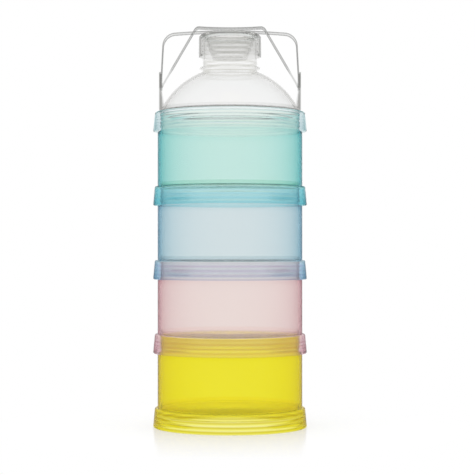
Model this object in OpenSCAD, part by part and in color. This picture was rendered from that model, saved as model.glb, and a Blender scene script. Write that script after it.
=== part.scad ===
// Stacking milk powder dispenser: four twist-lock cups, a clear pouring lid with a
// capped spout, and a clear carry handle that lifts off.
// The stack stands on the floor at z = 0, with its axis on z and its front towards -y.

/* [Cups] */
// Outer diameter of a cup's straight wall
cup_d = 72.2; // [60:0.2:90]
// Wall thickness of a cup
cup_wall = 1.6; // [1.2:0.1:2.2]
// Height that each cup adds to the stack
cup_pitch = 36.8; // [30:0.2:60]
// Thickness of a cup's floor
floor_t = 1.6; // [1.2:0.1:2.4]
// Bevel between a cup's floor and its wall
floor_bevel = 2; // [1:0.5:4]

/* [Twist lock] */
// Height of the skirt that hides the lock
skirt_h = 9.5; // [9.2:0.1:14]
// Thickness of the skirt at its top
skirt_wall = 1.1; // [0.8:0.1:1.6]
// How far the skirt widens towards its lower edge
skirt_flare = 0.9; // [0.4:0.1:1.4]
// Bevel along the skirt's edges
skirt_bevel = 0.5; // [0.3:0.1:0.7]
// How far a lock lug stands out
lug_reach = 1.1; // [0.9:0.1:1.4]
// Thickness of a lock lug
lug_t = 1.6; // [1.2:0.1:1.8]
// Number of lock lugs round each joint
lug_count = 4; // [3:1:5]
// Arc of each lock lug, in degrees
lug_arc = 30; // [16:1:34]
// Gap between faces that turn past each other
fit_gap = 0.3; // [0.25:0.05:0.4]

/* [Lid] */
// Height of the upright foot below the dome
foot_h = 2.4; // [2:0.2:4]
// Height of the dome from its foot to the spout
dome_rise = 18; // [14:0.5:24]
// Wall thickness of the dome
dome_wall = 1.5; // [1.2:0.1:2]
// Outer diameter of the spout
neck_d = 27.2; // [24:0.2:32]
// Wall thickness of the spout
neck_wall = 1; // [0.8:0.1:1.4]
// Height of the spout above the dome
neck_h = 16.6; // [16:0.2:22]
// How far the collar at the foot of the spout stands out
collar_reach = 1.5; // [1:0.1:3]
// Thickness of that collar
collar_t = 1; // [0.8:0.1:1.6]
// Height of that collar above the dome
collar_lift = 1.2; // [0.8:0.1:2]
// Number of sealing ribs round the spout
rib_count = 2; // [1:1:3]
// Spacing of the sealing ribs
rib_pitch = 2.7; // [2:0.1:3]
// How far a sealing rib stands out
rib_reach = 0.5; // [0.3:0.1:0.6]

/* [Cap] */
// Height of the cap's outer wall
cap_h = 11.5; // [10.5:0.1:13]
// Thickness of the cap's outer wall
cap_wall = 1; // [0.8:0.1:1.4]
// Thickness of the cap's top
cap_top_t = 1.2; // [1:0.1:1.6]
// Bevel round the cap's top
cap_bevel = 1.4; // [0.6:0.1:1.8]
// Wall thickness of the cap's hollow plug
plug_wall = 1; // [0.8:0.1:1.4]
// How far the plug narrows on its way down
plug_taper = 3.6; // [2:0.2:5]
// Thickness of the soft ring under the cap's top
seal_t = 1; // [0.8:0.1:1.4]
// How far a cap lug stands out
cap_lug_reach = 0.65; // [0.5:0.05:0.8]
// Thickness of a cap lug
cap_lug_t = 1.1; // [0.9:0.1:1.4]
// Arc of each of the two cap lugs, in degrees
cap_lug_arc = 50; // [30:1:70]

/* [Carry handle] */
// Thickness of the handle's straps
strap_t = 1; // [0.8:0.1:1.4]
// Width of the straps, from front to back
strap_w = 11; // [8:0.5:13]
// Height of the ears above the lid's skirt
ear_h = 19.8; // [17:0.2:22]
// Width of an ear where it leaves the ring
ear_w = 26; // [16:1:32]
// Gap between the cap and the handle above it
grip_gap = 1; // [0.9:0.1:3]
// How far the inner loop stands above the outer one
grip_rise = 1.6; // [1.2:0.1:2]
// Corner radius of the outer loop
outer_corner_r = 8.5; // [5:0.5:10]
// How far the outer loop's legs lean inwards
outer_lean = 1.2; // [0.6:0.1:2]
// How far the outer loop's top rises to its middle
outer_crown = 0.5; // [0.3:0.1:0.6]
// Width of the inner loop across its top
inner_top_w = 36.8; // [34:0.4:44]
// Corner radius of the inner loop
inner_corner_r = 3; // [2:0.1:5]
// Height above the lid's skirt at which the inner loop leaves the outer one
strut_h = 12.2; // [10:0.2:16]
// Height of the ring round the foot of the dome
ring_h = 2.2; // [1.6:0.1:2.4]
// Wall thickness of the ring and its ears
ring_wall = 1.2; // [1:0.1:1.5]

/* [Hidden] */
$fn = 96;
cup_count = 4;
sink = 0.4; // how deep an added lug is rooted in its wall
leg_root = 0.8; // how deep the handle's legs are rooted in their ears
slip = 0.1; // extra play round the rims
foot_step = 2; // ledge outside the handle's ring
rim_slope = 3.2; // height of the slope from a cup's wall in to its rim
rib_t = 0.6; // height of a sealing rib

// Radii of the twist lock, from the cup's wall inwards and outwards
cup_r = cup_d / 2;
skirt_in_r = cup_r + fit_gap;
skirt_top_r = skirt_in_r + skirt_wall;
skirt_low_r = skirt_top_r + skirt_flare;
neck_lug_r = skirt_in_r - fit_gap - slip;
rim_r = neck_lug_r - lug_reach;
skirt_lug_r = rim_r + fit_gap;
rim_in_r = rim_r - cup_wall + slip;
cup_in_r = cup_r - cup_wall;

// Half a step, so that no lug faces straight to the front
lug_start = 180 / lug_count;

// Heights of the twist lock, from the skirt's lower edge
floor_under = skirt_h - floor_t;
rim_h = floor_under - fit_gap;
skirt_lug_z = rim_h / 2 - lug_t - fit_gap / 2;
neck_lug_z = rim_h / 2 + fit_gap / 2;

// The lid, from the top cup's shoulder upwards
lid_z = cup_count * cup_pitch;
deck_z = lid_z + skirt_h;
foot_r = skirt_top_r - fit_gap - ring_wall - foot_step;
foot_z = deck_z + foot_h;
neck_r = neck_d / 2;
neck_in_r = neck_r - neck_wall;
dome_drop = (foot_r * foot_r - neck_r * neck_r - dome_rise * dome_rise) / (2 * dome_rise);
dome_r = sqrt(foot_r * foot_r + dome_drop * dome_drop);
dome_in_r = dome_r - dome_wall;
dome_c = foot_z - dome_drop;
neck_z = foot_z + dome_rise;
mouth_z = neck_z + neck_h;

// The cap, down from its top
cap_in_r = neck_r + cap_lug_reach + fit_gap;
cap_r = cap_in_r + cap_wall;
cap_under = mouth_z + fit_gap / 2 + seal_t;
cap_top = cap_under + cap_top_t;
cap_low = cap_top - cap_h;
plug_r = neck_in_r - fit_gap;
plug_low_r = plug_r - plug_taper;
plug_low = cap_low - cap_top_t;
plug_slope = plug_taper / (mouth_z - plug_low);
dimple_r = plug_r + plug_slope * (cap_top - mouth_z) - plug_wall;
cap_lug_low = cap_low + fit_gap;
neck_lug_low = cap_lug_low + cap_lug_t + fit_gap;
rib_low = neck_lug_low + cap_lug_t + fit_gap;

// The handle, from its ring up to the grip
ring_in_r = foot_r + fit_gap;
ring_z = deck_z + fit_gap / 2;
outer_x = ring_in_r + leg_root;
strut_z = deck_z + strut_h;
loop_low = cap_top + grip_gap;
loop_top = loop_low + strap_t;
grip_top = loop_top + grip_rise;

// The outer loop's shoulders, below its crown
shoulder_x = outer_x - outer_lean - outer_corner_r;
shoulder_z = loop_top - outer_crown - outer_corner_r;
crown_r = (shoulder_x * shoulder_x + outer_crown * outer_crown) / (2 * outer_crown);

// The inner loop's slanted legs run from the outer legs to a tangent on the corner arcs
corner_x = inner_top_w / 2 - inner_corner_r;
corner_z = grip_top - inner_corner_r;
leg_x = outer_x - strap_t / 2;
leg_reach = norm([leg_x - corner_x, corner_z - strut_z]);
leg_turn = atan2(corner_z - strut_z, corner_x - leg_x)
    - asin((inner_corner_r - strap_t / 2) / leg_reach);
leg_out = [sin(leg_turn), -cos(leg_turn)];

// A band of wall between two radii, over part of a turn
module arc_band(r_in, r_out, low, high, arc) {
    rotate([0, 0, -arc / 2])
        rotate_extrude(angle = arc)
            translate([r_in, low])
                square([r_out - r_in, high - low]);
}

// Lugs set evenly round the axis, the first at a start angle
module lug_row(count, start, r_in, r_out, low, thick, arc) {
    for (i = [0 : count - 1])
        rotate([0, 0, start + i * 360 / count])
            arc_band(r_in, r_out, low, low + thick, arc);
}

// Half section of the skirt, with its lower edge at height 0
module skirt_section() {
    polygon([
        [skirt_in_r, 0],
        [skirt_low_r - skirt_bevel, 0],
        [skirt_low_r, skirt_bevel],
        [skirt_top_r, skirt_h - skirt_bevel],
        [skirt_top_r - skirt_bevel, skirt_h],
        [skirt_in_r - sink, skirt_h],
        [skirt_in_r - sink, floor_under],
        [skirt_in_r, floor_under]
    ]);
}

// Lugs on the inside of a skirt
module skirt_lugs() {
    lug_row(lug_count, lug_start, skirt_lug_r, skirt_in_r + sink, skirt_lug_z, lug_t, lug_arc);
}

// Half section of a cup above its skirt: floor, wall, shoulder and rim
module cup_section() {
    polygon([
        [0, floor_under],
        [cup_r, floor_under],
        [cup_r, cup_pitch - skirt_bevel],
        [cup_r - skirt_bevel, cup_pitch],
        [rim_r, cup_pitch],
        [rim_r, cup_pitch + rim_h - skirt_bevel],
        [rim_r - skirt_bevel, cup_pitch + rim_h],
        [rim_in_r, cup_pitch + rim_h],
        [rim_in_r, cup_pitch],
        [cup_in_r, cup_pitch - rim_slope],
        [cup_in_r, skirt_h + floor_bevel],
        [cup_in_r - floor_bevel, skirt_h],
        [0, skirt_h]
    ]);
}

// One cup of the stack, counted from the bottom
module cup(level) {
    translate([0, 0, level * cup_pitch]) {
        rotate_extrude() {
            skirt_section();
            cup_section();
        }
        skirt_lugs();
        lug_row(lug_count, lug_start, rim_r - sink, neck_lug_r, cup_pitch + neck_lug_z, lug_t, lug_arc);
    }
}

module cup_yellow() color("#efe32c") cup(0);
module cup_pink() color("#f2d0d4") cup(1);
module cup_blue() color("#c6d8ea") cup(2);
module cup_aqua() color("#9fe4d9") cup(3);

// Half section of the lid's deck, dome and spout
module dome_section() {
    difference() {
        union() {
            translate([0, lid_z + floor_under])
                square([skirt_in_r, floor_t]);
            translate([0, deck_z - sink])
                square([foot_r, foot_h + sink]);
            intersection() {
                translate([0, dome_c])
                    circle(dome_r);
                translate([0, foot_z])
                    square([foot_r, dome_rise]);
            }
            translate([0, neck_z - sink - dome_wall])
                square([neck_r, neck_h + sink + dome_wall]);
            translate([0, neck_z + collar_lift])
                square([neck_r + collar_reach, collar_t]);
            for (i = [0 : rib_count - 1])
                translate([0, rib_low + i * rib_pitch])
                    square([neck_r + rib_reach, rib_t]);
        }
        intersection() {
            translate([0, dome_c])
                circle(dome_in_r);
            translate([0, lid_z])
                square([rim_in_r, dome_rise + foot_h + skirt_h]);
        }
        translate([0, neck_z - dome_wall - dome_rise / 2])
            square([neck_in_r, neck_h + dome_wall + dome_rise]);
    }
}

module dome_lid() color("#eef3f3") {
    rotate_extrude() {
        translate([0, lid_z])
            skirt_section();
        dome_section();
    }
    translate([0, 0, lid_z])
        skirt_lugs();
    lug_row(2, 0, neck_r - sink, neck_r + cap_lug_reach, neck_lug_low, cap_lug_t, cap_lug_arc);
}

module spout_cap() color("#e4eaea") {
    rotate_extrude()
        polygon([
            [cap_in_r, cap_low],
            [cap_r, cap_low],
            [cap_r, cap_top - cap_bevel],
            [cap_r - cap_bevel, cap_top],
            [dimple_r, cap_top],
            [plug_low_r - plug_wall + plug_slope * cap_top_t, cap_low],
            [0, cap_low],
            [0, plug_low],
            [plug_low_r, plug_low],
            [plug_r, mouth_z],
            [plug_r, cap_under],
            [cap_in_r, cap_under]
        ]);
    lug_row(2, 0, neck_r + fit_gap, cap_in_r + sink, cap_lug_low, cap_lug_t, cap_lug_arc);
}

module cap_seal() color("#dfe5e5")
    rotate_extrude()
        translate([plug_r, cap_under - seal_t])
            square([cap_in_r - plug_r, seal_t]);

// Front outline of the outer loop, filled: leaning legs, rounded shoulders and a crowned top
module outer_loop(inset) {
    r = outer_corner_r - inset;
    low = strut_z - strap_t - inset;
    foot_x = outer_x - inset;
    polygon([
        [-foot_x, low],
        [foot_x, low],
        [shoulder_x + r, shoulder_z],
        [-shoulder_x - r, shoulder_z]
    ]);
    for (s = [-1, 1])
        translate([s * shoulder_x, shoulder_z])
            circle(r);
    intersection() {
        translate([0, loop_top - crown_r])
            circle(crown_r - inset, $fn = 4 * $fn);
        translate([-shoulder_x, low])
            square([2 * shoulder_x, loop_top - low]);
    }
}

// Front outline of the inner loop, filled: slanted legs and rounded corners
module inner_loop(inset) {
    r = inner_corner_r - inset;
    foot = [leg_x, strut_z] + (strap_t / 2 - inset) * leg_out;
    shoulder = [corner_x, corner_z] + r * leg_out;
    right = [foot, shoulder, [corner_x, corner_z + r]];
    polygon(concat(right, [for (i = [2 : -1 : 0]) [-right[i][0], right[i][1]]]));
    for (s = [-1, 1])
        translate([s * corner_x, corner_z])
            circle(r);
}

// An ear: a piece of the ring's wall that narrows upwards to the width of the strap
module ears() {
    intersection() {
        translate([0, 0, ring_z])
            rotate_extrude()
                translate([ring_in_r, 0])
                    square([ring_wall, ear_h]);
        translate([-skirt_low_r, 0, ring_z])
            rotate([90, 0, 90])
                linear_extrude(2 * skirt_low_r)
                    polygon([
                        [-ear_w / 2, 0],
                        [ear_w / 2, 0],
                        [strap_w / 2, strut_h],
                        [strap_w / 2, ear_h],
                        [-strap_w / 2, ear_h],
                        [-strap_w / 2, strut_h]
                    ]);
    }
}

// The clear handle lifts off: a ring round the dome's foot, two ears and two crossed loops
module carry_handle() color("#eef2f2") {
    translate([0, 0, ring_z])
        rotate_extrude()
            translate([ring_in_r, 0])
                square([ring_wall, ring_h]);
    ears();
    translate([0, strap_w / 2, 0])
        rotate([90, 0, 0])
            linear_extrude(strap_w) {
                difference() {
                    outer_loop(0);
                    outer_loop(strap_t);
                }
                difference() {
                    inner_loop(0);
                    inner_loop(strap_t);
                }
            }
}

cup_yellow();
cup_pink();
cup_blue();
cup_aqua();
dome_lid();
carry_handle();
spout_cap();
cap_seal();
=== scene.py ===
import bpy
import numpy as np
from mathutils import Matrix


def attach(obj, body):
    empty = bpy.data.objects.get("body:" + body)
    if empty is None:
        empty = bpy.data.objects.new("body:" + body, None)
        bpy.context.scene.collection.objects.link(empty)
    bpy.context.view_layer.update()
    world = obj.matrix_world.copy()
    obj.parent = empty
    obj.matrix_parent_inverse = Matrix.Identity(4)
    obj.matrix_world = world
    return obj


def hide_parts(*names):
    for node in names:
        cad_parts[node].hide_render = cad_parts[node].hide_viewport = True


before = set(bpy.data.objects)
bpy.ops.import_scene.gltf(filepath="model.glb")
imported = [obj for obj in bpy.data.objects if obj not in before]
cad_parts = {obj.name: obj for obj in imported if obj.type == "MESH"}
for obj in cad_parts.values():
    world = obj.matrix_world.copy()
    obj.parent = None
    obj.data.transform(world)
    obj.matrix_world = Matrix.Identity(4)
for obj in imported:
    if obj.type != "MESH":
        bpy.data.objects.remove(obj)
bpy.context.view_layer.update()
mm = 0.001
hairGap = 0.02  # mm between two meshes of one moulding
print("frame loaded:", len(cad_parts), "nodes")


def linear(hexColour):
    # sRGB to linear: c / 12.92 for dark values, ((c + 0.055) / 1.055) ^ 2.4 for the others
    c = np.array([int(hexColour[i:i + 2], 16) for i in (1, 3, 5)]) / 255
    return (*np.where(c <= 0.04045, c / 12.92, ((c + 0.055) / 1.055) ** 2.4), 1.0)


def addNode(tree, kind, sockets=None, links=None, **settings):
    # a node with its settings, its socket values and the outputs that feed it
    node = tree.nodes.new(kind)
    for key, value in settings.items():
        setattr(node, key, value)
    for key, value in (sockets or {}).items():
        node.inputs[key].default_value = value
    for key, source in (links or {}).items():
        tree.links.new(source, node.inputs[key])
    return node


def clearedTree(owner):
    # empty node tree of a material or of the world
    owner.use_nodes = True
    owner.node_tree.nodes.clear()
    return owner.node_tree


def filleted(corners, radii, steps=5):
    # closed outline with an arc at each corner: the arc's centre is on the corner's bisector,
    # r / sin(half angle) from it, and its points turn evenly from one tangent point to the other
    p = np.array(corners, float)
    r = np.broadcast_to(np.array(radii, float), len(p))
    back, ahead = np.roll(p, 1, 0) - p, np.roll(p, -1, 0) - p
    backLen, aheadLen = np.linalg.norm(back, axis=1), np.linalg.norm(ahead, axis=1)
    back, ahead = back / backLen[:, None], ahead / aheadLen[:, None]
    half = np.arccos(np.clip((back * ahead).sum(1), -0.99999, 1)) / 2
    reach = np.minimum(r / np.tan(half), 0.45 * np.minimum(backLen, aheadLen))
    bisector = (back + ahead) / (2 * np.cos(half))[:, None]
    centre = p + bisector * (reach / np.cos(half))[:, None]
    start, end = p + back * reach[:, None] - centre, p + ahead * reach[:, None] - centre
    turn = (np.pi - 2 * half)[:, None]
    t = np.linspace(0, 1, steps)[None, :]
    a, b = np.sin((1 - t) * turn) / np.sin(turn), np.sin(t * turn) / np.sin(turn)
    arcs = centre[:, None] + a[..., None] * start[:, None] + b[..., None] * end[:, None]
    return arcs[(r > 0)[:, None] | (np.arange(steps) == 0)]  # a corner of radius 0 keeps one point


def rippled(start, end, depth, count, sharp=1):
    # line from start to end with level ripples: each point is pushed out by
    # depth * ((1 - cos(2 pi n t)) / 2) ^ sharp
    t = np.linspace(0, 1, 12 * count + 1)
    line = np.outer(1 - t, start) + np.outer(t, end)
    line[:, 0] += depth * ((1 - np.cos(2 * np.pi * count * t)) / 2) ** sharp
    return line.tolist()


def turned(profile, turns=144, closed=True):
    # lathe: (r, z) goes to (r cos a, r sin a, z); an open profile starts and ends on the axis
    r, z = np.array(profile, float).T
    a = np.linspace(0, 2 * np.pi, turns, endpoint=False)
    grid = np.stack([np.outer(r, np.cos(a)), np.outer(r, np.sin(a)), np.outer(z, np.ones(turns))], -1)
    ids = np.arange(grid.shape[0] * turns).reshape(-1, turns)
    if closed:
        ids = np.vstack([ids, ids[:1]])
        return grid.reshape(-1, 3), quads(np.hstack([ids, ids[:, :1]]))
    ids = np.hstack([ids, ids[:, :1]])[1:-1] - turns + 1
    last = ids.max() + 1
    low = np.stack([np.zeros(turns, int), ids[0, 1:], ids[0, :-1]], 1)
    high = np.stack([np.full(turns, last), ids[-1, :-1], ids[-1, 1:]], 1)
    points = np.vstack([grid[0, :1], grid[1:-1].reshape(-1, 3), grid[-1, :1]])
    return points, quads(ids) + low.tolist() + high.tolist()


def quads(ids):
    # faces between neighbours of a grid of point numbers
    return np.stack([ids[:-1, :-1], ids[:-1, 1:], ids[1:, 1:], ids[1:, :-1]], -1).reshape(-1, 4).tolist()


def carried(section, centre, across, up):
    # sweep: section point (u, v) at a path point goes to centre + u * across + v * up; ends are capped
    u, v = np.moveaxis(np.broadcast_to(section, (len(centre),) + np.shape(section)[-2:]), -1, 0)
    grid = centre[:, None] + u[..., None] * across[:, None] + v[..., None] * up[:, None]
    count = grid.shape[1]
    ids = np.arange(grid.shape[0] * count).reshape(-1, count)
    faces = quads(np.hstack([ids, ids[:, :1]])) + [ids[0, ::-1].tolist(), ids[-1].tolist()]
    return grid.reshape(-1, 3), faces


def makePiece(name, points, faces):
    # closed shell in metres with outward faces: the sum of face area times height tells inside from outside
    mesh = bpy.data.meshes.new(name)
    mesh.from_pydata(np.asarray(points) * mm, [], faces)
    mesh.update()
    count = len(mesh.polygons)
    normals, centres, areas = np.empty(count * 3), np.empty(count * 3), np.empty(count)
    mesh.polygons.foreach_get("normal", normals)
    mesh.polygons.foreach_get("center", centres)
    mesh.polygons.foreach_get("area", areas)
    if (normals[2::3] * centres[2::3] * areas).sum() < 0:
        mesh.flip_normals()
    piece = bpy.data.objects.new(name, mesh)
    bpy.context.scene.collection.objects.link(piece)
    return piece


def fuse(piece, extras):
    # boolean union of a shell with its lugs, ribs or straps into one closed shell
    for extra in extras:
        join = piece.modifiers.new(extra.name, "BOOLEAN")
        join.operation, join.solver, join.object = "UNION", "EXACT", extra
    whole = bpy.data.meshes.new_from_object(piece.evaluated_get(bpy.context.evaluated_depsgraph_get()))
    piece.modifiers.clear()
    piece.data = whole
    for extra in extras:
        bpy.data.objects.remove(extra)
    return piece


def dress(piece, material, node, body):
    # smooth shading with sharp edges over 32 degrees, then material, body and the solid it stands for
    piece.data.shade_smooth()
    piece.data.set_sharp_from_angle(angle=np.radians(32))
    piece.data.materials.clear()
    piece.data.materials.append(material)
    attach(piece, body)
    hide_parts(node)
    print("made", piece.name, len(piece.data.polygons), "faces")
    return piece


def arcLug(name, root, tip, low, high, middle, arc, soft=0.35, runIn=0.35, endReach=0.3):
    # rounded box section carried round the axis over part of a turn; its reach from the root swells and
    # fades as a smooth step at both ends, as a lug's run-in does
    section = filleted([[root, low], [tip, low], [tip, high], [root, high]], soft, 4)
    t = np.linspace(0, 1, 25)
    ramp = np.clip(np.minimum(t, 1 - t) / runIn, 0, 1)
    reach = endReach + (1 - endReach) * ramp ** 2 * (3 - 2 * ramp)
    sections = np.stack([root + (section[None, :, 0] - root) * reach[:, None],
                         np.broadcast_to(section[:, 1], (len(t), len(section)))], -1)
    a = np.radians(middle + arc * (t - 0.5))
    out = np.stack([np.cos(a), np.sin(a), 0 * a], 1)
    return makePiece(name, *carried(sections, 0 * out, out, np.tile([0.0, 0.0, 1.0], (len(a), 1))))


# materials

# where the level streaks of painted highlight and painted shade in the cup skirts stop, and their pitch
paintedSkirtStreaks = dict(top=8.6, fade=0.4, pitch=2.2)  # mm above a cup's foot, and from streak to streak


def tintedPolypropylene(name, low, shade, ridgeHighlightAndShade, deep, depth, through, rough):
    # translucent polypropylene, injection moulded with a satin tool: hardly milky body, colour that gathers
    # where light runs a long way inside the wall, soft highlights, faint flow clouds and a fine grain;
    # in the skirt, which starts at low, level streaks are painted into the colour over a tint of the whole
    # skirt: lighter ones as painted highlights and darker ones as painted shade of the ridges inside it
    material = bpy.data.materials.new(name)
    tree = clearedTree(material)
    place = addNode(tree, "ShaderNodeTexCoord").outputs["Object"]
    clouds = addNode(tree, "ShaderNodeTexNoise", {"Scale": 1 / 0.022, "Detail": 3.0, "Roughness": 0.5},
                     {"Vector": place})  # flow clouds about 22 mm across
    tint = addNode(tree, "ShaderNodeMix", {"A": linear(shade[0]), "B": linear(shade[1])},
                   {"Factor": clouds.outputs["Fac"]}, data_type="RGBA")
    # painted streaks: lighter level bands for the highlights that the inner ridges catch, darker ones for their
    # shade
    wave = addNode(tree, "ShaderNodeTexWave",
                   {"Scale": np.pi / 10 / (paintedSkirtStreaks["pitch"] * mm), "Distortion": 0.0},
                   {"Vector": place}, bands_direction="Z")  # a wave's length is pi / (10 * scale)
    paintedStreaks = addNode(tree, "ShaderNodeMix", {"A": linear(ridgeHighlightAndShade[0]), "B": linear(ridgeHighlightAndShade[1])},
                      {"Factor": wave.outputs["Fac"]}, data_type="RGBA")
    height = addNode(tree, "ShaderNodeSeparateXYZ", None, {"Vector": place}).outputs["Z"]
    top = low + paintedSkirtStreaks["top"]
    inSkirt = addNode(tree, "ShaderNodeMapRange",
                      {"From Min": top * mm, "From Max": (top - paintedSkirtStreaks["fade"]) * mm}, {"Value": height})
    tint = addNode(tree, "ShaderNodeMix", None,
                   {"Factor": inSkirt.outputs["Result"], "A": tint.outputs["Result"],
                    "B": paintedStreaks.outputs["Result"]}, data_type="RGBA")
    gloss = addNode(tree, "ShaderNodeMapRange", {"To Min": rough - 0.04, "To Max": rough + 0.05},
                    {"Value": clouds.outputs["Fac"]})
    grain = addNode(tree, "ShaderNodeTexNoise", {"Scale": 1 / 0.0007, "Detail": 2.0},
                    {"Vector": place})  # satin grain, drawn at 0.7 mm so that it shows
    bump = addNode(tree, "ShaderNodeBump", {"Strength": 0.12, "Distance": 0.00004},
                   {"Height": grain.outputs["Fac"]})
    surface = addNode(tree, "ShaderNodeBsdfPrincipled",
                      {"IOR": 1.03, "Transmission Weight": through, "Coat Weight": 0.12, "Coat Roughness": 0.3},
                      {"Base Color": tint.outputs["Result"], "Roughness": gloss.outputs["Result"],
                       "Normal": bump.outputs["Normal"]})
    inside = addNode(tree, "ShaderNodeVolumeAbsorption", {"Color": linear(deep), "Density": depth})
    addNode(tree, "ShaderNodeOutputMaterial", None,
            {"Surface": surface.outputs["BSDF"], "Volume": inside.outputs["Volume"]})
    return material


def clearPlastic(name, shade, deep, depth, rough, paintedRidgeShade="#ffffff", pitch=2.4, span=(0.0, 200.0)):
    # clear copolyester or silicone, polished tool: sees through, greys along its edges, faint moulding
    # ripple, and over a span of heights, level bands of the band colour, one to each pitch in mm; where a
    # piece is ridged these bands are darker, painted shade for the shade that the ridges catch
    material = bpy.data.materials.new(name)
    tree = clearedTree(material)
    place = addNode(tree, "ShaderNodeTexCoord").outputs["Object"]
    ripple = addNode(tree, "ShaderNodeTexNoise", {"Scale": 1 / 0.009, "Detail": 1.5},
                     {"Vector": place})  # ripple about 9 mm long
    gloss = addNode(tree, "ShaderNodeMapRange", {"To Min": rough * 0.6, "To Max": rough * 1.5},
                    {"Value": ripple.outputs["Fac"]})
    bump = addNode(tree, "ShaderNodeBump", {"Strength": 0.08, "Distance": 0.0002},
                   {"Height": ripple.outputs["Fac"]})
    # level bands of the band colour over the span; darker ones are painted shade of the ridges
    wave = addNode(tree, "ShaderNodeTexWave",
                   {"Scale": np.pi / 10 / (pitch * mm), "Distortion": 0.6, "Detail": 0.0},
                   {"Vector": place}, bands_direction="Z")
    height = addNode(tree, "ShaderNodeSeparateXYZ", None, {"Vector": place}).outputs["Z"]
    fromMiddle = addNode(tree, "ShaderNodeMath", {1: (span[0] + span[1]) / 2 * mm}, {0: height},
                         operation="SUBTRACT")
    distance = addNode(tree, "ShaderNodeMath", None, {0: fromMiddle.outputs[0]}, operation="ABSOLUTE")
    half = (span[1] - span[0]) / 2
    ridged = addNode(tree, "ShaderNodeMapRange", {"From Min": half * mm, "From Max": (half - 0.6) * mm},
                     {"Value": distance.outputs[0]})
    bands = addNode(tree, "ShaderNodeMath", None, {0: wave.outputs["Fac"], 1: ridged.outputs["Result"]},
                    operation="MULTIPLY")
    tint = addNode(tree, "ShaderNodeMix", {"A": linear(shade), "B": linear(paintedRidgeShade)},
                   {"Factor": bands.outputs[0]}, data_type="RGBA")
    surface = addNode(tree, "ShaderNodeBsdfPrincipled",
                      {"IOR": 1.012, "Transmission Weight": 1.0, "Coat Weight": 0.2, "Coat Roughness": 0.06},
                      {"Base Color": tint.outputs["Result"], "Roughness": gloss.outputs["Result"],
                       "Normal": bump.outputs["Normal"]})
    inside = addNode(tree, "ShaderNodeVolumeAbsorption", {"Color": linear(deep), "Density": depth})
    addNode(tree, "ShaderNodeOutputMaterial", None,
            {"Surface": surface.outputs["BSDF"], "Volume": inside.outputs["Volume"]})
    return material


# four cups, one shape

cupShape = dict(
    pitch=36.8, wallR=36.1, wallInR=34.5, rimR=34.9, rimInR=34.05, rimTop=45.4,
    skirtInR=36.4, skirtTopR=37.5, skirtLowR=38.4, skirtTop=9.5, floorUnder=9.05, floorTop=9.5,
    rimLug=(34.2, 35.75, 40.8, 42.2), skirtLug=(36.7, 35.45, 2.25, 3.55), lugArc=30.0,
    lugTurns=(45, 135, 225, 315), rimRipple=(37.3, 45.0, -0.5, 4), skirtSpan=(7.1, 0.5),
    rimSlope=3.2, gate=(1.3, 1.6, 0.3), cove=(2.0, 0.1), floorDepth=10.0)

# depth, count and sharpness of the ripples inside the skirts
cupRipples = dict(yellow=(1.0, 3, 3), pink=(0.35, 4, 2), blue=(0.15, 4, 1), aqua=(0.15, 4, 1))

# the second pair of colours in each look is the lighter and the darker colour of the skirt's painted highlight and
# painted shade streaks
cupLooks = {
    "yellow": dict(shade=("#fffdc0", "#fefbb4"), ridgeHighlightAndShade=("#fffff2", "#e4d980"), deep="#fbf941", depth=950.0,
                   through=0.95, rough=0.2),
    "pink": dict(shade=("#fffefb", "#fefcf8"), ridgeHighlightAndShade=("#ffffff", "#f9eef0"), deep="#d9abb8", depth=150.0,
                 through=0.955, rough=0.2),
    "blue": dict(shade=("#fffdfb", "#fefbf9"), ridgeHighlightAndShade=("#fffdff", "#f9f1fb"), deep="#7dc4d8", depth=165.0,
                 through=0.99, rough=0.2),
    "aqua": dict(shade=("#fffffb", "#fefff6"), ridgeHighlightAndShade=("#f8ffff", "#eafbff"), deep="#74d9e0", depth=220.0,
                 through=0.99, rough=0.2),
}

cupFloors = dict(yellow=("#fffa86", "#fef87c"), pink=("#fffaf8", "#fef7f5"), blue=("#f6f9fa", "#f3f7f8"),
                 aqua=("#e9f7f1", "#e3f4ec"))  # tint of the thin floors


def skirtOutline(low, c, ripple):
    # flared skirt: down its rippled inner side, round its foot and up its slope
    high, foot = c["skirtSpan"]
    inner = rippled([c["skirtInR"], high], [c["skirtInR"], foot], *ripple)
    line = [[c["skirtInR"], c["floorUnder"]], *inner, [c["skirtInR"], 0], [c["skirtLowR"], 0],
            [c["skirtTopR"], c["skirtTop"]]]
    return [[r, z + low] for r, z in line], [0.2] + [0] * len(inner) + [0.3, 0.6, 0.6]


def makeCup(colour, level):
    # skirt, wall and rim in one ring, with the lugs of both locks
    c = cupShape
    lift = level * c["pitch"]
    skirt, skirtSoft = skirtOutline(0, c, cupRipples[colour])
    low, high, depth, count = c["rimRipple"]
    rim = rippled([c["rimR"], low], [c["rimR"], high], depth, count)
    outline = skirt + [
        [c["wallR"], c["skirtTop"]], [c["wallR"], c["pitch"]], [c["rimR"], c["pitch"]], *rim,
        [c["rimR"], c["rimTop"]], [c["rimInR"], c["rimTop"]], [c["rimInR"], c["pitch"]],
        [c["wallInR"], c["pitch"] - c["rimSlope"]], [c["wallInR"], c["floorUnder"]]]
    soft = skirtSoft + [0.3, 0.6, 0.2] + [0] * len(rim) + [0.2, 0.5, 0.8, 0.8, 0.2]
    cup = makePiece("cup-" + colour, *turned(filleted(outline, soft) + [0, lift]))
    lugs = [arcLug("lug", *np.add(spec, (0, 0, lift, lift)), turn, c["lugArc"])
            for spec in (c["rimLug"], c["skirtLug"]) for turn in c["lugTurns"]]
    return fuse(cup, lugs)


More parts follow.
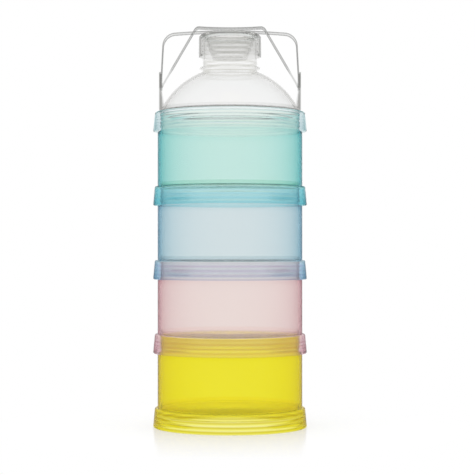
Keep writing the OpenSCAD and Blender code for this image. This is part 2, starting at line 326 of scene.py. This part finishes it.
def makeFloor(colour, level):
    # thin disc with a gate mark under it and a cove up the wall, a hair's breadth inside the ring
    c = cupShape
    under, top, edge = c["floorUnder"], c["floorTop"], c["wallInR"] - hairGap
    gateR, gateRootR, gateDrop = c["gate"]
    cove, lip = c["cove"]
    line = [[0, under - gateDrop], [gateR, under - gateDrop], [gateRootR, under], [edge, under],
            [edge, top + cove], [edge - lip, top + cove], [edge - lip, top], [0, top]]
    disc = filleted(line, [0, 0.15, 0.15, 0.15, 0, 0, cove, 0]) + [0, level * c["pitch"]]
    return makePiece("cup-" + colour + "-floor", *turned(disc, closed=False))


for level, (colour, looks) in enumerate(cupLooks.items()):
    body = "base" if level == 0 else colour + "_stage"
    name, low = colour + "-translucent-polypropylene", level * cupShape["pitch"]
    node, slot = "cup_" + colour, colour + "_pp"
    dress(makeCup(colour, level), tintedPolypropylene(name, low, **looks), node, body)
    floorLooks = dict(looks, shade=cupFloors[colour], depth=cupShape["floorDepth"], through=1.0)
    dress(makeFloor(colour, level), tintedPolypropylene(name + "-floor", low, **floorLooks), node, body)


# pouring lid: skirt, deck, dome, collar and threaded spout

lidShape = dict(
    low=147.2, deck=156.7, footR=34.0, footTop=159.1, domeR=38.46, domeInR=36.96, domeC=141.13,
    neckR=13.6, neckInR=12.6, mouth=193.7, collar=(178.3, 179.3), collarR=15.1,
    capLug=(13.2, 14.25, 186.25, 187.35), capLugArc=50.0,
    deckInR=33.5, skirtRipple=(0.25, 5, 1),
    thread=dict(low=188.2, pitch=2.7, turns=1.7, reach=0.55, crest=0.3, foot=0.75, root=0.4))


def threadRidge(neckR, low, pitch, turns, reach, crest, foot, root):
    # helix: the ridge's section climbs one pitch in each turn and runs out at both ends
    t = np.linspace(0, 1, 150)
    a = 2 * np.pi * turns * t
    fade = np.clip(np.minimum(t, 1 - t) * 9, 0.05, 1)
    ridge = filleted([[-root, -foot], [reach, -crest], [reach, crest], [-root, foot]], 0.2, 4)
    section = ridge[None] * np.stack([np.where(ridge[None, :, 0] > 0, fade[:, None], 1),
                                      np.ones((len(t), len(ridge)))], -1)
    out = np.stack([np.cos(a), np.sin(a), 0 * a], 1)
    path = out * neckR + np.outer(low + pitch * turns * t, [0, 0, 1])
    return makePiece("thread", *carried(section, path, out, np.tile([0.0, 0.0, 1.0], (len(t), 1))))


def domeArc(radius, centre, fromR, toR, steps=28):
    # points of a sphere's section between two distances from the axis: z = centre + sqrt(R^2 - r^2)
    r = np.linspace(fromR, toR, steps)
    return np.stack([r, centre + np.sqrt(radius ** 2 - r ** 2)], 1).tolist()


def makeLidSkirt():
    s, c = lidShape, cupShape
    skirt, skirtSoft = skirtOutline(s["low"], c, s["skirtRipple"])
    outline = skirt + [[s["deckInR"], s["deck"]], [s["deckInR"], s["low"] + c["floorUnder"]]]
    lid = makePiece("pouring-lid-skirt", *turned(filleted(outline, skirtSoft + [0, 0.4])))
    return fuse(lid, [arcLug("lug", *np.add(c["skirtLug"], (0, 0, s["low"], s["low"])), turn, c["lugArc"])
                      for turn in c["lugTurns"]])


def makeLid():
    # dome and spout, a hair's breadth above the skirt's deck
    s = lidShape
    foot = s["deck"] + hairGap
    footInR = np.sqrt(s["domeInR"] ** 2 - (foot - s["domeC"]) ** 2)
    inner = domeArc(s["domeInR"], s["domeC"], footInR, s["neckInR"])
    outer = domeArc(s["domeR"], s["domeC"], s["neckR"], s["footR"])
    collarLow, collarTop = s["collar"]
    outline = [[s["footR"], foot]] + outer[::-1] + [
        [s["neckR"], collarLow], [s["collarR"], collarLow], [s["collarR"], collarTop],
        [s["neckR"], collarTop], [s["neckR"], s["mouth"]], [s["neckInR"], s["mouth"]]] + inner[::-1]
    soft = ([0, 0.5] + [0] * (len(outer) - 2) + [0.8, 0.3, 0.5, 0.5, 0.4, 0.4, 0.4, 1.0]
            + [0] * (len(inner) - 1))
    lid = makePiece("pouring-lid", *turned(filleted(outline, soft)))
    lugs = [arcLug("capLug", *s["capLug"], turn, s["capLugArc"]) for turn in (0, 180)]
    return fuse(lid, lugs + [threadRidge(s["neckR"], **s["thread"])])


# in the dome's and the skirt's looks the band colour is painted shade, in level bands over the neck and collar and
# over the skirt's ripples
domeLooks = dict(shade="#ffffff", deep="#979690", depth=32.0, rough=0.03, paintedRidgeShade="#ededea", pitch=2.2,
                 span=(174.8, 183.6))
skirtLooks = dict(shade="#ffffff", deep="#5fb4ba", depth=60.0, rough=0.05, paintedRidgeShade="#f2f6f9", pitch=1.5,
                  span=(147.3, 156.3))  # takes up the hue of the cup behind it
dress(makeLid(), clearPlastic("clear-copolyester-lid", **domeLooks), "dome_lid", "lid")
dress(makeLidSkirt(), clearPlastic("clear-copolyester-skirt", **skirtLooks), "dome_lid", "lid")


# spout cap with its hollow plug, and the soft ring inside it

capShape = dict(
    low=184.55, top=196.05, under=194.85, r=15.55, inR=14.55, plugR=12.3, plugLowR=8.7, plugLow=183.35,
    mouth=193.7, dimpleR=12.12, dimpleLowR=8.12, bevel=1.4, lug=(14.95, 13.9, 184.85, 185.95), lugArc=50.0,
    plugRipple=(0.5, 4), split=12.9)
wallLooks = dict(shade="#fbfbfa", deep="#979793", depth=125.0, rough=0.05)
# the plug's band colour is painted shade, in level bands down its rippled cone
plugLooks = dict(shade="#ffffff", deep="#979793", depth=25.0, rough=0.05, paintedRidgeShade="#ebebe9")


def makeCap():
    s = capShape
    line = [[s["split"], s["under"]], [s["inR"], s["under"]], [s["inR"], s["low"]], [s["r"], s["low"]],
            [s["r"], s["top"] - s["bevel"]], [s["r"] - s["bevel"], s["top"]], [s["split"], s["top"]]]
    wall = makePiece("spout-cap", *turned(filleted(line, [0, 0.3, 0.3, 0.3, 1.2, 1.0, 0])))
    return fuse(wall, [arcLug("lug", *s["lug"], turn, s["lugArc"]) for turn in (0, 180)])


def makePlug():
    # hollow cone that hangs in the spout, a hair's breadth inside the cap's top
    s = capShape
    cone = rippled([s["plugLowR"], s["plugLow"] + 0.7], [s["plugR"], s["mouth"]], *s["plugRipple"])
    edge = s["split"] - hairGap
    line = [[0, s["plugLow"]], [s["plugLowR"] - 0.2, s["plugLow"]], *cone, [s["plugR"], s["under"]],
            [edge, s["under"]], [edge, s["top"]], [s["dimpleR"], s["top"]],
            [s["dimpleLowR"], s["low"]], [0, s["low"]]]
    soft = [0, 0.3] + [0] * len(cone) + [0, 0, 0, 0.3, 0.6, 0]
    return makePiece("spout-cap-plug", *turned(filleted(line, soft), closed=False))


dress(makeCap(), clearPlastic("clear-copolyester-cap", **wallLooks), "spout_cap", "cap")
dress(makePlug(), clearPlastic("clear-copolyester-plug", **plugLooks), "spout_cap", "cap")

sealShape = dict(inR=12.34, r=14.5, low=193.87, top=194.83)
sealLooks = dict(shade="#f4f6f5", deep="#b9bfbe", depth=60.0, rough=0.4)
sealLine = [[sealShape["inR"], sealShape["low"]], [sealShape["r"], sealShape["low"]],
            [sealShape["r"], sealShape["top"]], [sealShape["inR"], sealShape["top"]]]
seal = makePiece("cap-seal", *turned(filleted(sealLine, 0.3)))
dress(seal, clearPlastic("clear-silicone", **sealLooks), "cap_seal", "cap")


# carry handle: ring, ears and two crossed loops of strap

handleShape = dict(
    strap=0.5, width=9.0, ringInR=34.3, ringR=35.5, ringLow=156.85, ringTop=159.05,
    earTop=176.65, earWaist=169.05, earHalf=13.0,
    outer=dict(foot=(34.65, 167.9), corner=(26.9, 189.55), radius=6.55, crown=1.1),
    inner=dict(foot=(34.6, 168.9), corner=(15.4, 196.65), radius=2.55, crown=-0.5))
# the rim colour is the grey painted as shade on the free loops' narrow edges, and laid along the seam and over the
# top bar
handleLooks = dict(
    shade="#eef1f0", rim="#6d6d69", veil=(0.02, 0.5), seam=(157.35, 158.05), free=(168.0, 169.0),
    edge=(4.0, 4.2), legFade=(179.0, 175.0), legReach=(33.9, 33.3), bar=(195.5, 201.0), deep="#979793",
    depth=100.0, rough=0.08)


def strapAlong(name, path, s):
    # flat strap: a rounded box section, thickness across the path in the front plane, width from front to
    # back; the path's heading at a point is the mean of the two pieces that meet there
    step = np.diff(path, axis=0)
    step /= np.linalg.norm(step, axis=1)[:, None]
    ahead = np.vstack([step[:1], step[:-1] + step[1:], step[-1:]])
    ahead /= np.linalg.norm(ahead, axis=1)[:, None]
    t, w = s["strap"] / 2, s["width"] / 2
    section = filleted([[-t, -w], [t, -w], [t, w], [-t, w]], 0.25, 4)
    centre = np.stack([path[:, 0], 0 * path[:, 0], path[:, 1]], 1)
    across = np.stack([ahead[:, 1], 0 * path[:, 0], -ahead[:, 0]], 1)
    return makePiece(name, *carried(section, centre, across, np.tile([0.0, 1.0, 0.0], (len(path), 1))))


def arch(foot, corner, radius, crown, steps=14):
    # path of a loop: straight from its foot to the tangent on the corner arc, round it, then a parabola that
    # rises by the crown to the middle, and mirrored
    away = np.subtract(corner, foot)
    heading = np.arctan2(away[1], away[0]) - np.arcsin(radius / np.hypot(*away))
    a = np.linspace(heading - np.pi / 2, np.pi / 2, steps)
    bend = np.add(corner, radius * np.stack([np.cos(a), np.sin(a)], 1))
    leg = np.linspace(foot, bend[0], 6)[:-1]
    x = np.linspace(corner[0], 0, 9)[1:-1]
    top = np.stack([x, corner[1] + radius + crown * (1 - (x / corner[0]) ** 2)], 1)
    right = np.vstack([leg, bend, top])
    middle = [[0, corner[1] + radius + crown]]
    return np.vstack([right, middle, (right * [-1, 1])[::-1]])


def ear(side, s):
    # piece of the ring's wall: a rounded box section, bent round the axis, that narrows on its way up
    waist = s["earWaist"]
    z = np.array([s["ringLow"] + 0.3, s["ringTop"], waist - 3, waist, waist + 2, s["earTop"]])
    half = np.interp(z, [s["ringLow"], waist], [s["earHalf"], s["width"] / 2])
    edge = np.linspace(-1, 1, 12)
    flat = np.vstack([np.stack([edge, 0 * edge], 1), np.stack([edge[::-1], 0 * edge + 1], 1)])
    y = half[:, None] * flat[None, :, 0]
    r = s["ringInR"] + (s["ringR"] - s["ringInR"]) * flat[None, :, 1]
    x = side * np.sqrt(r ** 2 - y ** 2)
    grid = np.stack([x, y, np.broadcast_to(z[:, None], x.shape)], -1)
    ids = np.arange(grid.shape[0] * grid.shape[1]).reshape(len(z), -1)
    faces = quads(np.hstack([ids, ids[:, :1]])) + [ids[0, ::-1].tolist(), ids[-1].tolist()]
    return makePiece("ear", grid.reshape(-1, 3), faces)


def makeHandle():
    s = handleShape
    handle = strapAlong("carry-handle", arch(**s["outer"]), s)
    inner = strapAlong("innerLoop", arch(**s["inner"]), s)
    ringLine = [[s["ringInR"], s["ringLow"]], [s["ringR"], s["ringLow"]], [s["ringR"], s["ringTop"]],
                [s["ringInR"], s["ringTop"]]]
    ring = makePiece("ring", *turned(filleted(ringLine, 0.3)))
    return fuse(handle, [inner, ring, ear(-1, s), ear(1, s)])


def clearStraps(name, shade, rim, veil, seam, free, edge, legFade, legReach, bar, deep, depth, rough):
    # clear copolyester in straps: light goes straight through the broad faces, while grey is painted on as
    # shade along the narrow edges of the free loops, where clear sheet seen edge-on turns dark, and laid
    # along the seam where the ring sits on the lid; the painted grey is less see-through; the inner loop's
    # legs clear towards their feet, and its top bar is a little grey all over
    material = bpy.data.materials.new(name)
    tree = clearedTree(material)
    place = addNode(tree, "ShaderNodeTexCoord").outputs["Object"]
    x, y, z = addNode(tree, "ShaderNodeSeparateXYZ", None, {"Vector": place}).outputs
    aside = addNode(tree, "ShaderNodeMath", None, {0: x}, operation="ABSOLUTE").outputs[0]
    wide = addNode(tree, "ShaderNodeMath", None, {0: y}, operation="ABSOLUTE").outputs[0]
    ramps = [addNode(tree, "ShaderNodeMapRange", {"From Min": low * mm, "From Max": high * mm},
                     {"Value": source}).outputs["Result"]
             for source, (low, high) in ((wide, edge), (z, free), (z, legFade), (aside, legReach), (z, seam[::-1]),
                                         (z, bar))]
    onEdge, onLoops, nearFeet, onLegs, onSeam, onBar = ramps
    narrow = addNode(tree, "ShaderNodeMath", None, {0: onEdge, 1: onLoops}, operation="MULTIPLY")
    feet = addNode(tree, "ShaderNodeMath", None, {0: nearFeet, 1: onLegs}, operation="MULTIPLY")
    kept = addNode(tree, "ShaderNodeMath", {0: 1.0}, {1: feet.outputs[0]}, operation="SUBTRACT")
    narrow = addNode(tree, "ShaderNodeMath", None, {0: narrow.outputs[0], 1: kept.outputs[0]}, operation="MULTIPLY")
    paintedEdgeShadeAndGrey = addNode(tree, "ShaderNodeMath", None, {0: narrow.outputs[0], 1: onSeam}, operation="MAXIMUM")
    paintedEdgeShadeAndGrey = addNode(tree, "ShaderNodeMath", None, {0: paintedEdgeShadeAndGrey.outputs[0], 1: onBar}, operation="MAXIMUM").outputs[0]
    ripple = addNode(tree, "ShaderNodeTexNoise", {"Scale": 1 / 0.009, "Detail": 1.5},
                     {"Vector": place})  # ripple about 9 mm long
    gloss = addNode(tree, "ShaderNodeMapRange", {"To Min": rough * 0.6, "To Max": rough * 1.5},
                    {"Value": ripple.outputs["Fac"]})
    # the rim grey: painted shade on the narrow edges, and grey along the seam and over the top bar
    tint = addNode(tree, "ShaderNodeMix", {"A": linear(shade), "B": linear(rim)},
                   {"Factor": paintedEdgeShadeAndGrey}, data_type="RGBA")
    body = addNode(tree, "ShaderNodeMapRange", {"To Min": veil[0], "To Max": veil[1]}, {"Value": paintedEdgeShadeAndGrey})
    surface = addNode(tree, "ShaderNodeBsdfPrincipled", {"IOR": 1.5},
                      {"Base Color": tint.outputs["Result"], "Roughness": gloss.outputs["Result"],
                       "Alpha": body.outputs["Result"]})
    inside = addNode(tree, "ShaderNodeVolumeAbsorption", {"Color": linear(deep), "Density": depth})
    addNode(tree, "ShaderNodeOutputMaterial", None,
            {"Surface": surface.outputs["BSDF"], "Volume": inside.outputs["Volume"]})
    return material


dress(makeHandle(), clearStraps("clear-copolyester-handle", **handleLooks), "carry_handle", "handle")


# studio: white sweep, soft lamps, camera

studio = dict(floorSize=3.0, floorColour="#ffffff", floorRough=0.15, nearWhite=0.45, nearR=0.036, farR=0.12,
              ambient=0.9)


def seenBy(tree):
    # which rays the eye follows: straight from the camera or by a reflection, and through clear plastic
    ray = addNode(tree, "ShaderNodeLightPath")
    seen = addNode(tree, "ShaderNodeMath", None,
                   {0: ray.outputs["Is Camera Ray"], 1: ray.outputs["Is Glossy Ray"]}, operation="MAXIMUM")
    return seen.outputs[0], ray.outputs["Is Transmission Ray"]


half = studio["floorSize"] / 2
floorMesh = bpy.data.meshes.new("studio-floor")
floorMesh.from_pydata([(-half, -half, 0), (half, -half, 0), (half, half, 0), (-half, half, 0)], [],
                      [(0, 1, 2, 3)])
floor = bpy.data.objects.new("studio-floor", floorMesh)
bpy.context.scene.collection.objects.link(floor)
paper = bpy.data.materials.new("white-acrylic-table")  # smooth white sheet with a soft reflection
tree = clearedTree(paper)
sheet = addNode(tree, "ShaderNodeBsdfPrincipled", {"Base Color": linear(studio["floorColour"]),
                                                   "Roughness": studio["floorRough"]})
glow = addNode(tree, "ShaderNodeEmission", {"Color": (1, 1, 1, 1), "Strength": 1.0})
direct, through = seenBy(tree)
away = addNode(tree, "ShaderNodeVectorMath", None,
               {0: addNode(tree, "ShaderNodeTexCoord").outputs["Object"]}, operation="LENGTH")
white = addNode(tree, "ShaderNodeMapRange", {"From Min": studio["nearR"], "From Max": studio["farR"],
                                             "To Min": studio["nearWhite"]}, {"Value": away.outputs["Value"]})
share = addNode(tree, "ShaderNodeMath", None, {0: white.outputs["Result"], 1: direct}, operation="MULTIPLY")
share = addNode(tree, "ShaderNodeMath", None, {0: share.outputs[0], 1: through}, operation="MAXIMUM")
mixed = addNode(tree, "ShaderNodeMixShader", None,
                {0: share.outputs[0], 1: sheet.outputs["BSDF"], 2: glow.outputs["Emission"]})
addNode(tree, "ShaderNodeOutputMaterial", None, {"Surface": mixed.outputs["Shader"]})
floorMesh.materials.append(paper)

world = bpy.data.worlds.new("white-studio")
bpy.context.scene.world = world
tree = clearedTree(world)
direct, through = seenBy(tree)
seen = addNode(tree, "ShaderNodeMath", None, {0: direct, 1: through}, operation="MAXIMUM")
strength = addNode(tree, "ShaderNodeMapRange", {"To Min": studio["ambient"], "To Max": 1.0},
                   {"Value": seen.outputs[0]})
sky = addNode(tree, "ShaderNodeBackground", {"Color": (1, 1, 1, 1)}, {"Strength": strength.outputs["Result"]})
addNode(tree, "ShaderNodeOutputWorld", None, {"Surface": sky.outputs["Background"]})

lamps = [
    dict(name="key-softbox", place=(-0.75, -0.7, 0.75), size=0.7, power=1.6),
    dict(name="fill-softbox", place=(0.85, -0.55, 0.45), size=0.8, power=0.8),
    dict(name="back-softbox", place=(0.0, 0.95, 0.6), size=1.0, power=1.0),
]
for spec in lamps:
    lamp = bpy.data.lights.new(spec["name"], "AREA")
    lamp.size, lamp.energy = spec["size"], spec["power"]
    holder = bpy.data.objects.new(spec["name"], lamp)
    holder.location = spec["place"]
    aim = np.subtract((0, 0, 0.1), spec["place"])
    holder.rotation_euler = (np.arctan2(np.hypot(aim[0], aim[1]), -aim[2]), 0,
                             np.arctan2(aim[1], aim[0]) - np.pi / 2)
    holder.visible_transmission = False  # not seen through the plastic
    bpy.context.scene.collection.objects.link(holder)

cameraSpec = dict(lens=116.7, place=(0, -0.77, 0.0882), shift=(0.0158, 0.0263))
lensData = bpy.data.cameras.new("front-camera")
lensData.lens, lensData.sensor_width = cameraSpec["lens"], 36
lensData.shift_x, lensData.shift_y = cameraSpec["shift"]
camera = bpy.data.objects.new("front-camera", lensData)
camera.location = cameraSpec["place"]
camera.rotation_euler = (np.pi / 2, 0, 0)
bpy.context.scene.collection.objects.link(camera)
bpy.context.scene.camera = camera
bpy.context.scene.view_settings.view_transform = "Standard"
print("studio ready")
